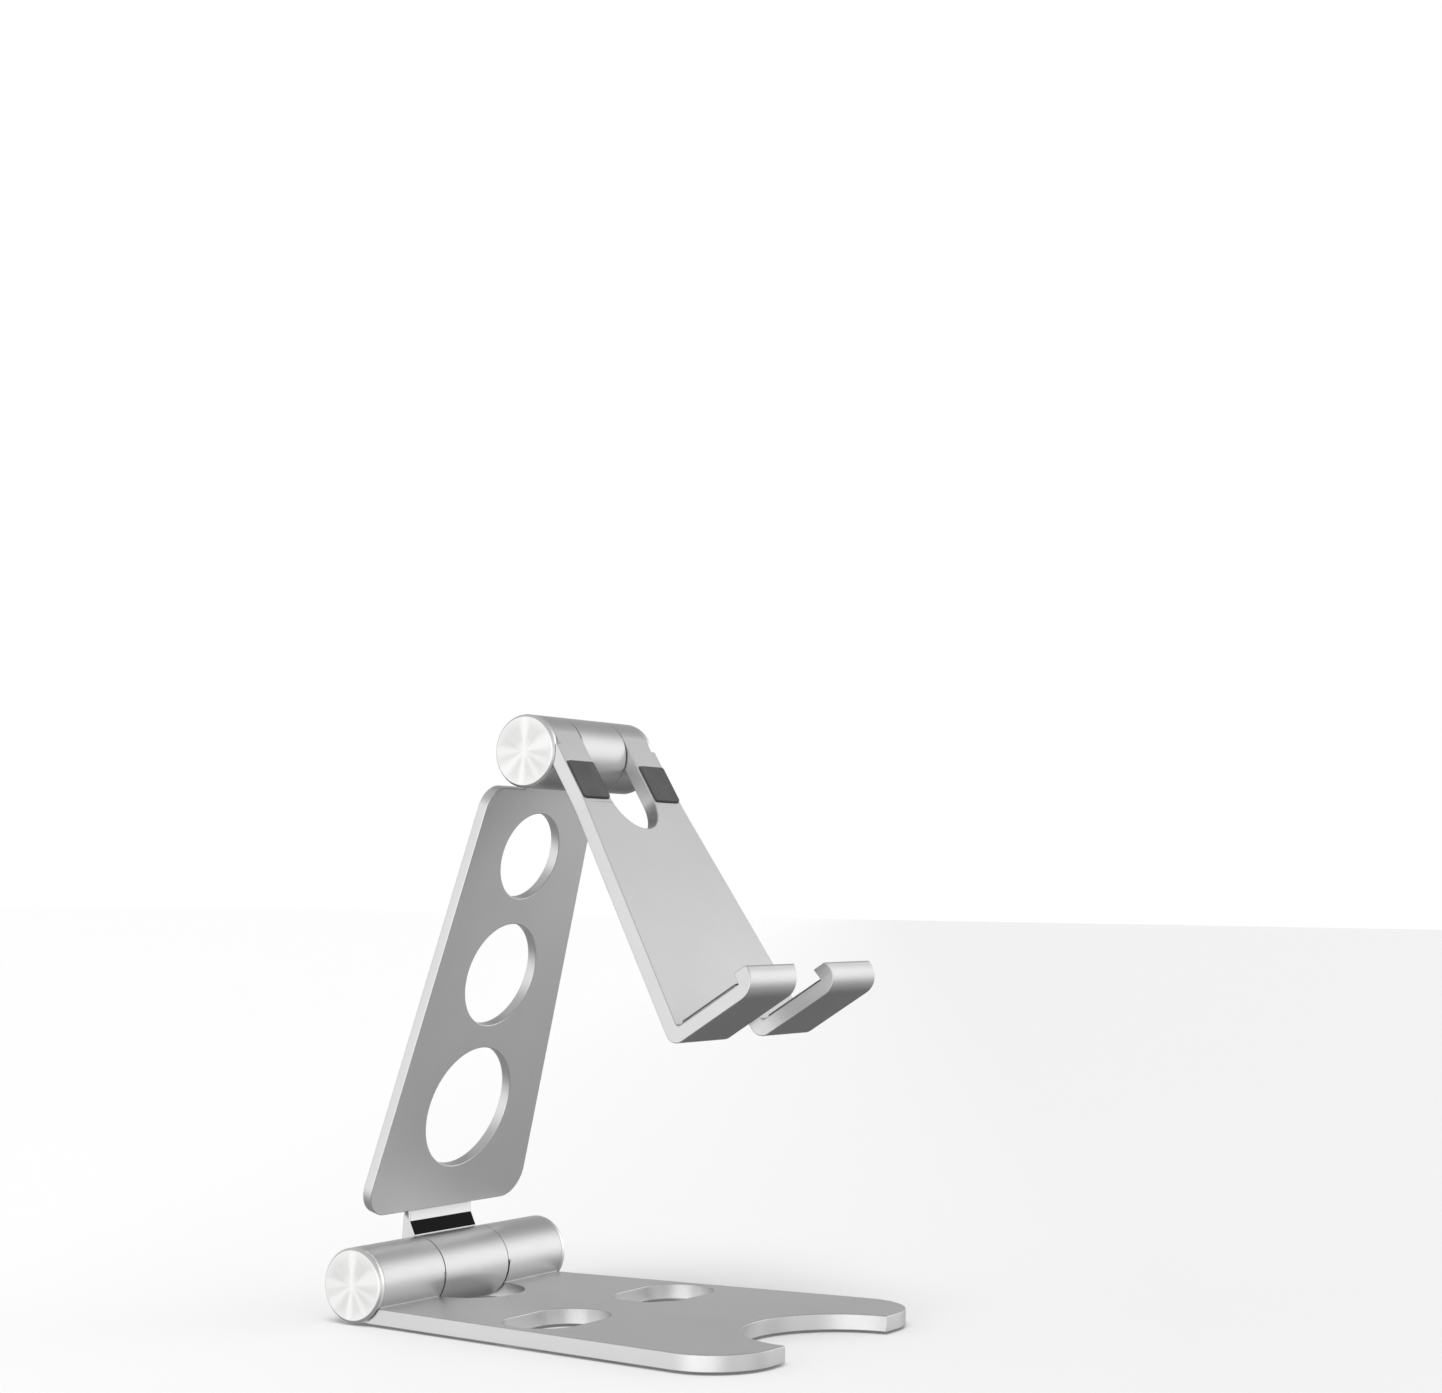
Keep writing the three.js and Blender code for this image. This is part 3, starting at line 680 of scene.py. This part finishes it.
def polymer():
    """Pale grey bearing polymer, which keeps the seams between the knuckles faint."""
    return grained(
        "washer_polymer", 0.0, 0.5, grey(0.40), grain=(1800.0, 2.0), tones=(grey(0.37), grey(0.43)),
        spread=(0.42, 0.58), relief=(0.2, 0.00003))


def steel(name, dark, light, stretch):
    """Plated or spring steel with a directional grain."""
    return grained(
        name, 1.0, 0.3, light, grain=(1500.0, 3.0), tones=(dark, light), spread=(0.22, 0.38),
        relief=(0.2, 0.00003), stretch=stretch)


# ---- Pieces ----------------------------------------------------------------------------------


def on_barrel(point):
    """Whether a point of a hinge frame lies on the surface of a barrel."""
    rises = (0.0, HINGE_SPACING)
    return any(abs(math.hypot(point.y, point.z - rise) - BARREL_R) < ON_SURFACE for rise in rises)


def runs_round(edge):
    """Whether an edge runs round a barrel."""
    one, two = (vert.co for vert in edge.verts)
    return abs(one.x - two.x) < SAME_PLACE and on_barrel(one) and on_barrel(two)


def edge_weights(bm, bevel):
    """Bevel weights: full on outer edges and less round a barrel's end. Inner corners are sharp."""
    layer = bm.edges.layers.float.new("bevel_weight_edge")
    for edge in bm.edges:
        if len(edge.link_faces) != 2 or edge.calc_face_angle() < math.radians(SHARP_ANGLE):
            continue
        if not edge.is_convex:
            edge.smooth = False
            continue
        edge[layer] = min(1.0, SEAM_BEVEL / bevel) if runs_round(edge) else 1.0


def dress(obj, name, place, body, nodes, mat, bevel, segments=2, dark=None):
    """Puts a finished solid in the row frame as the piece that stands for the CAD nodes."""
    obj.name = name
    obj.data.name = name
    clean = bmesh.new()
    clean.from_mesh(obj.data)
    bmesh.ops.remove_doubles(clean, verts=clean.verts, dist=CLEAN_WELD)
    bmesh.ops.dissolve_limit(clean, angle_limit=math.radians(FLAT_ANGLE), verts=clean.verts,
                             edges=clean.edges)
    bmesh.ops.recalc_face_normals(clean, faces=clean.faces)
    edge_weights(clean, bevel)
    for face in clean.faces:
        face.material_index = int(dark is not None and dark[1](face))
    obj.data.materials.clear()
    obj.data.materials.append(mat)
    if dark:
        obj.data.materials.append(dark[0])
    clean.to_mesh(obj.data)
    clean.free()
    obj.data.transform(place)
    obj.data.shade_smooth()
    edge = obj.modifiers.new("edges", "BEVEL")
    edge.width = bevel * MM
    edge.segments = segments
    edge.limit_method = "WEIGHT"
    edge.miter_outer = "MITER_ARC"
    edge.harden_normals = False
    # Clamping would let one tiny edge switch the bevel off everywhere.
    edge.use_clamp_overlap = False
    normals = obj.modifiers.new("normals", "WEIGHTED_NORMAL")
    normals.keep_sharp = True
    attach(obj, body)
    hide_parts(*nodes)


def neck_facet(face):
    """Whether a face is the lower facet on the inner side of the arm's lower neck."""
    middle = face.calc_center_median()
    deep = NECK_CREST[0] - JUST_PAST < middle.y < NECK_BEND[0]
    high = NECK_CREST[1] - JUST_PAST < middle.z < NECK_BEND[1]
    return deep and high and face.normal.y < -0.5 and face.normal.z > 0.2


def build_pieces():
    """Every finer piece, and a finish on every CAD node that stays."""
    metal = blasted_aluminium()
    for build, name, body, place, dark in (
        (base_plate, "base_plate", "base", BASE_FRAME, None),
        (arm_plate, "arm_plate", "arm", ARM_FRAME, (neck_black(), neck_facet)),
        (holder_plate, "holder_plate", "holder", HOLDER_FRAME, None),
    ):
        dress(build(), name + "_fine", place, body, [name], metal,
              PLATE_BEVEL, dark=dark)

    for level, hinge, place, body, at in (
        ("lower", LOWER_HINGE, BASE_FRAME, "base", LOWER_AT),
        ("upper", UPPER_HINGE, HOLDER_FRAME, "holder", UPPER_AT),
    ):
        spun = spun_aluminium(at)
        for side, word in ((-1, "left"), (1, "right")):
            name = f"{level}_end_cap_{word}"
            dress(end_cap(hinge, side), name + "_fine", place, body, [name], spun,
                  CAP_BEVEL)

    rubber = silicone()

    def pad(outline, low, high, on_plan, name, place, body):
        dress(prism([outline], low, high, on_plan), name + "_fine", place, body, [name], rubber,
              PAD_BEVEL, 3)

    under = PAD_CLEARANCE - PAD_RECESS
    for side, word in ((-1, "left"), (1, "right")):
        for row, (x, forward, half_x, half_y) in FOOT_PADS.items():
            outline = rectangle(side * x, forward, half_x, half_y, FOOT_PAD_CORNER_R)
            pad(outline, -BARREL_R - PAD_PROUD, -BARREL_R + PAD_RECESS - PAD_CLEARANCE, on_base,
                f"foot_pad_{row}_{word}", BASE_FRAME, "base")
        pad(pad_outline(REST_PAD, side, 0), BARREL_R + under, BARREL_R + PAD_PROUD, on_holder,
            f"rest_pad_{word}", HOLDER_FRAME, "holder")
        pad(pad_outline(LIP_PAD, side, 0), under, PAD_PROUD, on_lip,
            f"lip_pad_{word}", HOLDER_FRAME, "holder")

    spring = steel("spring_steel", (0.20, 0.20, 0.21), (0.30, 0.30, 0.31), (1.0, 6.0, 6.0))
    hardware = steel("hardware_steel", (0.42, 0.42, 0.43), (0.52, 0.52, 0.53), (8.0, 1.0, 1.0))
    finishes = {"friction_washer": polymer(), "disc_spring": spring, "": hardware}
    for name, obj in frame["nodes"].items():
        if obj.hide_render:
            continue
        kind = next(key for key in finishes if key in name)
        obj.data.materials.clear()
        obj.data.materials.append(finishes[kind])


# ---- Floor, light and camera --------------------------------------------------------------------

FLOOR_HALF = 6.0
# Painted shadow: the floor fades from pale to a shadow grey along this direction, between these
# distances in metres.
FLOOR_SHADOW_ACROSS = (0.497, -0.868, 0.0)
FLOOR_SHADOW_FADE = (-0.16, 0.12)
FLOOR_PALE = grey(0.95)
FLOOR_SHADOW_GREY = grey(0.845)
FLOOR_MOTTLE_SCALE = 30.0
FLOOR_MOTTLE = 0.04  # the mottle's share of the fade

# The room's brightness below and above the horizon, and the sines of elevation between them.
ROOM_LOW, ROOM_HIGH = 0.355, 0.73
ROOM_FOOT, ROOM_TOP = -0.50, -0.12
ROOM_CEILING = -0.12
CEILING_FROM, CEILING_TO = 0.35, 0.95
# Soft panels: azimuth, elevation, inner and outer angle from the middle, brightness.
PANELS = (
    (-38, 15, 6, 32, 0.84),
    (142, -2, 14, 46, 0.50),
    (-165, -6, 12, 44, 1.00),
    (-100, -5, 8, 36, 0.35),
    (18, -30, 5, 32, -0.22),
    (20, 48, 6, 36, -0.26),
    (38, 10, 4, 24, -0.10),
)

OVERHEAD_TOWARD = (-0.5, -0.2, 1.0)
OVERHEAD_SPREAD = 34.0
OVERHEAD_STRENGTH = 1.47

CAMERA_AT = (-0.4279, -0.3030, 0.0901)
CAMERA_HEADING, CAMERA_TILT, CAMERA_ROLL = -60.224, 93.904, 0.606  # turns about Z, X and Z
CAMERA_LENS = 62.28
CAMERA_SHIFT = (-0.1036, 0.0156)


def floor():
    """A plain pale floor with a painted shadow: a little greyer towards the camera's right."""
    half = FLOOR_HALF
    corners = [(-half, -half, 0), (half, -half, 0), (half, half, 0), (-half, half, 0)]
    mesh = bpy.data.meshes.new("floor")
    mesh.from_pydata(corners, [], [(0, 1, 2, 3)])
    obj = bpy.data.objects.new("floor", mesh)
    bpy.context.scene.collection.objects.link(obj)
    mat, nodes, links, shader = material("floor_white", 0.0, 0.6, grey(0.90))
    coords = object_coords(nodes)
    across = vector_math(nodes, links, "DOT_PRODUCT", coords, FLOOR_SHADOW_ACROSS).outputs["Value"]
    mottle = noise(nodes, links, coords, FLOOR_MOTTLE_SCALE)
    # Painted shadow: the floor's colour greys towards the camera's right, with a faint mottle.
    shade = ranged(nodes, links, across, 0.0, 1.0 - FLOOR_MOTTLE, FLOOR_SHADOW_FADE)
    mixed = nodes.new("ShaderNodeMath")
    mixed.operation = "MULTIPLY_ADD"
    mixed.inputs[1].default_value = FLOOR_MOTTLE
    links.new(mottle, mixed.inputs[0])
    links.new(shade, mixed.inputs[2])
    tone = ramp(nodes, links, mixed.outputs["Value"], FLOOR_PALE, FLOOR_SHADOW_GREY, (0.0, 1.0))
    links.new(tone, shader.inputs["Base Color"])
    mesh.materials.append(mat)
    obj.visible_glossy = False


def overhead_light():
    """A broad, distant light that casts soft shadows and isn't mirrored by the metal."""
    data = bpy.data.lights.new("overhead", "SUN")
    data.angle = math.radians(OVERHEAD_SPREAD)
    data.energy = OVERHEAD_STRENGTH
    obj = bpy.data.objects.new("overhead", data)
    obj.rotation_euler = Vector(OVERHEAD_TOWARD).to_track_quat("Z", "Y").to_euler()
    obj.visible_glossy = False
    bpy.context.scene.collection.objects.link(obj)


def bearing(azimuth, elevation):
    """A unit vector: azimuth from +X towards +Y, elevation up from the horizon, in degrees."""
    around, up = math.radians(azimuth), math.radians(elevation)
    return Vector((math.cos(up) * math.cos(around), math.cos(up) * math.sin(around), math.sin(up)))


def world():
    """White to look at, and a grey room with soft bright panels as the metal mirrors it."""
    scene_world = bpy.data.worlds.new("studio")
    bpy.context.scene.world = scene_world
    scene_world.use_nodes = True
    nodes, links = scene_world.node_tree.nodes, scene_world.node_tree.links
    toward = nodes.new("ShaderNodeTexCoord").outputs["Generated"]

    def blurred(axis, start, end, low, high):
        dot = vector_math(nodes, links, "DOT_PRODUCT", toward, axis)
        step = nodes.new("ShaderNodeMapRange")
        step.interpolation_type = "SMOOTHSTEP"
        set_range(step, start, end, low, high)
        links.new(dot.outputs["Value"], step.inputs["Value"])
        return step.outputs["Result"]

    def added(one, two):
        node = nodes.new("ShaderNodeMath")
        node.operation = "ADD"
        links.new(one, node.inputs[0])
        links.new(two, node.inputs[1])
        return node.outputs["Value"]

    up = (0, 0, 1)
    total = added(blurred(up, ROOM_FOOT, ROOM_TOP, ROOM_LOW, ROOM_HIGH),
                  blurred(up, CEILING_FROM, CEILING_TO, 0.0, ROOM_CEILING))
    for azimuth, elevation, inside, outside, strength in PANELS:
        edges = (math.cos(math.radians(angle)) for angle in (outside, inside))
        total = added(total, blurred(bearing(azimuth, elevation), *edges, 0.0, strength))
    room = nodes["Background"]
    room.inputs["Color"].default_value = (1, 1, 1, 1)
    links.new(total, room.inputs["Strength"])
    plain = nodes.new("ShaderNodeBackground")
    plain.inputs["Color"].default_value = (1, 1, 1, 1)
    plain.inputs["Strength"].default_value = 1.0
    path = nodes.new("ShaderNodeLightPath")
    mix = nodes.new("ShaderNodeMixShader")
    links.new(path.outputs["Is Camera Ray"], mix.inputs["Fac"])
    links.new(room.outputs["Background"], mix.inputs[1])
    links.new(plain.outputs["Background"], mix.inputs[2])
    links.new(mix.outputs["Shader"], nodes["World Output"].inputs["Surface"])


def camera():
    """The photograph's viewpoint."""
    data = bpy.data.cameras.new("camera")
    data.sensor_width = 36.0
    data.lens = CAMERA_LENS
    data.shift_x, data.shift_y = CAMERA_SHIFT
    data.clip_start = 0.01
    obj = bpy.data.objects.new("camera", data)
    place = Matrix.Translation(CAMERA_AT)
    for degrees, axis in ((CAMERA_HEADING, "Z"), (CAMERA_TILT, "X"), (CAMERA_ROLL, "Z")):
        place = place @ Matrix.Rotation(math.radians(degrees), 4, axis)
    obj.matrix_world = place
    bpy.context.scene.collection.objects.link(obj)
    bpy.context.scene.camera = obj


bpy.context.scene.view_settings.view_transform = "Standard"
build_pieces()
floor()
world()
overhead_light()
camera()
